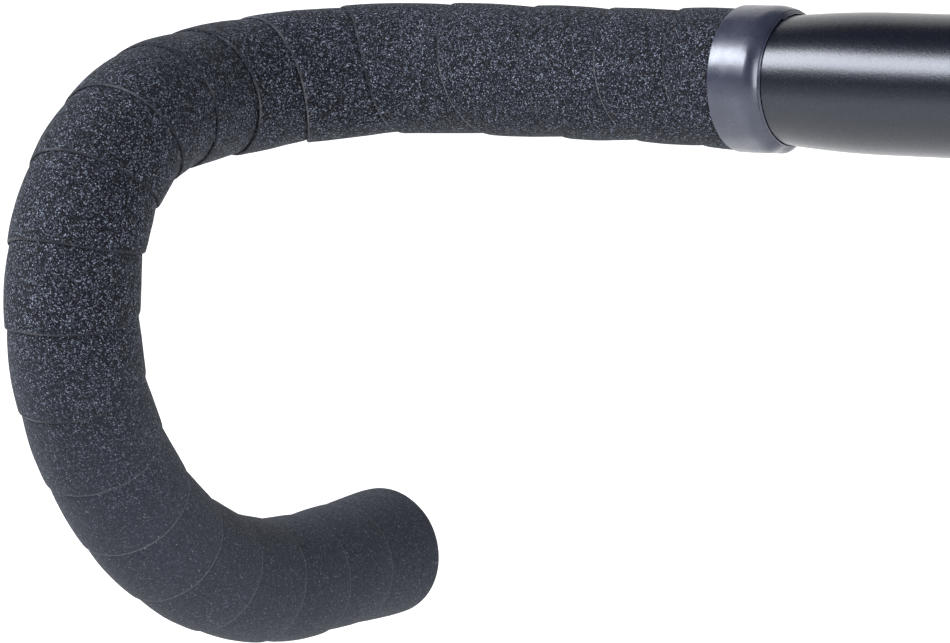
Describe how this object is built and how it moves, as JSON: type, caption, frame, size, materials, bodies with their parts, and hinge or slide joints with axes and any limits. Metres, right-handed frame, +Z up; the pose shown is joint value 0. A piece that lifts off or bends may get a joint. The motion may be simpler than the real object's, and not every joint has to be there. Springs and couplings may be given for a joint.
{
  "type": "drop handlebar",
  "caption": "Bicycle drop handlebar with spiral-wrapped foam grip tape, vinyl finishing bands and expanding bar-end plugs.",
  "frame": {"origin": "centre of the stem clamp, on the tube's axis", "axes": "+X to the rider's right along the tops, +Y forward, +Z up"},
  "size_m": [0.4638, 0.1531, 0.1582],
  "materials": {
    "tube_black_alloy": "bead-blasted black anodised, satin",
    "foam_tape": "soft closed-cell foam with fine pale flecks",
    "adhesive": "thin double-sided adhesive film",
    "vinyl_tape": "glossy stretched vinyl",
    "cap_plastic": "fine moulded texture",
    "plated_steel": "zinc plated",
    "brass_nut": "turned brass",
    "plug_nylon": "moulded nylon",
    "ring_rubber": "smooth rubber"
  },
  "bodies": {
    "bar": {"handlebar_tube": "tube_black_alloy", "right_grip_tape": "foam_tape", "right_adhesive_backing": "adhesive", "right_finishing_tape": "vinyl_tape", "left_grip_tape": "foam_tape", "left_adhesive_backing": "adhesive", "left_finishing_tape": "vinyl_tape"},
    "right_plug": {"right_end_cap": "cap_plastic", "right_plug_washer": "plated_steel"},
    "right_screw": {"right_plug_screw": "plated_steel"},
    "right_wedge": {"right_cone_wedge": "plug_nylon", "right_captive_nut": "brass_nut"},
    "right_jaw_1": {"right_jaw_1": "plug_nylon"},
    "right_jaw_2": {"right_jaw_2": "plug_nylon"},
    "right_jaw_3": {"right_jaw_3": "plug_nylon"},
    "right_ring": {"right_retaining_ring": "ring_rubber"},
    "left_plug": {"left_end_cap": "cap_plastic", "left_plug_washer": "plated_steel"},
    "left_screw": {"left_plug_screw": "plated_steel"},
    "left_wedge": {"left_cone_wedge": "plug_nylon", "left_captive_nut": "brass_nut"},
    "left_jaw_1": {"left_jaw_1": "plug_nylon"},
    "left_jaw_2": {"left_jaw_2": "plug_nylon"},
    "left_jaw_3": {"left_jaw_3": "plug_nylon"},
    "left_ring": {"left_retaining_ring": "ring_rubber"}
  },
  "joints": [
    {"name": "right_plug_slide", "type": "slide", "parent": "bar", "child": "right_plug", "axis": [-0.0036, -0.9989, 0.047], "range_m": [0, 0.045]},
    {"name": "right_wedge_slide", "type": "slide", "parent": "right_plug", "child": "right_wedge", "axis": [0.0036, 0.9989, -0.047], "range_m": [0, 0.0032]},
    {"name": "right_screw_turn", "type": "hinge", "parent": "right_plug", "child": "right_screw", "pos_m": [0.21612, -0.04788, -0.12459], "axis": [-0.0036, -0.9989, 0.047], "range_deg": [0, 1440]},
    {"name": "right_jaw_1_slide", "type": "slide", "parent": "right_plug", "child": "right_jaw_1", "axis": [-0.0228, 0.9548, 0.2965], "range_m": [0, 0.0017]},
    {"name": "right_jaw_2_slide", "type": "slide", "parent": "right_plug", "child": "right_jaw_2", "axis": [-0.2788, 0.9306, -0.2372], "range_m": [0, 0.0017]},
    {"name": "right_jaw_3_slide", "type": "slide", "parent": "right_plug", "child": "right_jaw_3", "axis": [0.3118, 0.9306, -0.1917], "range_m": [0, 0.0017]},
    {"name": "right_ring_slide", "type": "slide", "parent": "right_plug", "child": "right_ring", "axis": [0.0036, 0.9989, -0.047], "range_m": [0, 0.0016], "deforming": ["right_retaining_ring"]},
    {"name": "left_plug_slide", "type": "slide", "parent": "bar", "child": "left_plug", "axis": [0.0036, -0.9989, 0.047], "range_m": [0, 0.045]},
    {"name": "left_wedge_slide", "type": "slide", "parent": "left_plug", "child": "left_wedge", "axis": [-0.0036, 0.9989, -0.047], "range_m": [0, 0.0032]},
    {"name": "left_screw_turn", "type": "hinge", "parent": "left_plug", "child": "left_screw", "pos_m": [-0.21612, -0.04788, -0.12459], "axis": [0.0036, -0.9989, 0.047], "range_deg": [0, 1440]},
    {"name": "left_jaw_1_slide", "type": "slide", "parent": "left_plug", "child": "left_jaw_1", "axis": [0.0228, 0.9548, 0.2965], "range_m": [0, 0.0017]},
    {"name": "left_jaw_2_slide", "type": "slide", "parent": "left_plug", "child": "left_jaw_2", "axis": [0.2788, 0.9306, -0.2372], "range_m": [0, 0.0017]},
    {"name": "left_jaw_3_slide", "type": "slide", "parent": "left_plug", "child": "left_jaw_3", "axis": [-0.3118, 0.9306, -0.1917], "range_m": [0, 0.0017]},
    {"name": "left_ring_slide", "type": "slide", "parent": "left_plug", "child": "left_ring", "axis": [-0.0036, 0.9989, -0.047], "range_m": [0, 0.0016], "deforming": ["left_retaining_ring"]}
  ],
  "couplings": [
    {"joint": "right_screw_turn", "follows": "right_wedge_slide", "rad_per_m": 7853.9},
    {"joint": "right_jaw_1_slide", "follows": "right_wedge_slide", "ratio": 0.53209},
    {"joint": "right_jaw_2_slide", "follows": "right_wedge_slide", "ratio": 0.53209},
    {"joint": "right_jaw_3_slide", "follows": "right_wedge_slide", "ratio": 0.53209},
    {"joint": "right_ring_slide", "follows": "right_wedge_slide", "ratio": 0.5},
    {"joint": "left_screw_turn", "follows": "left_wedge_slide", "rad_per_m": 7853.9},
    {"joint": "left_jaw_1_slide", "follows": "left_wedge_slide", "ratio": 0.53209},
    {"joint": "left_jaw_2_slide", "follows": "left_wedge_slide", "ratio": 0.53209},
    {"joint": "left_jaw_3_slide", "follows": "left_wedge_slide", "ratio": 0.53209},
    {"joint": "left_ring_slide", "follows": "left_wedge_slide", "ratio": 0.5}
  ]
}
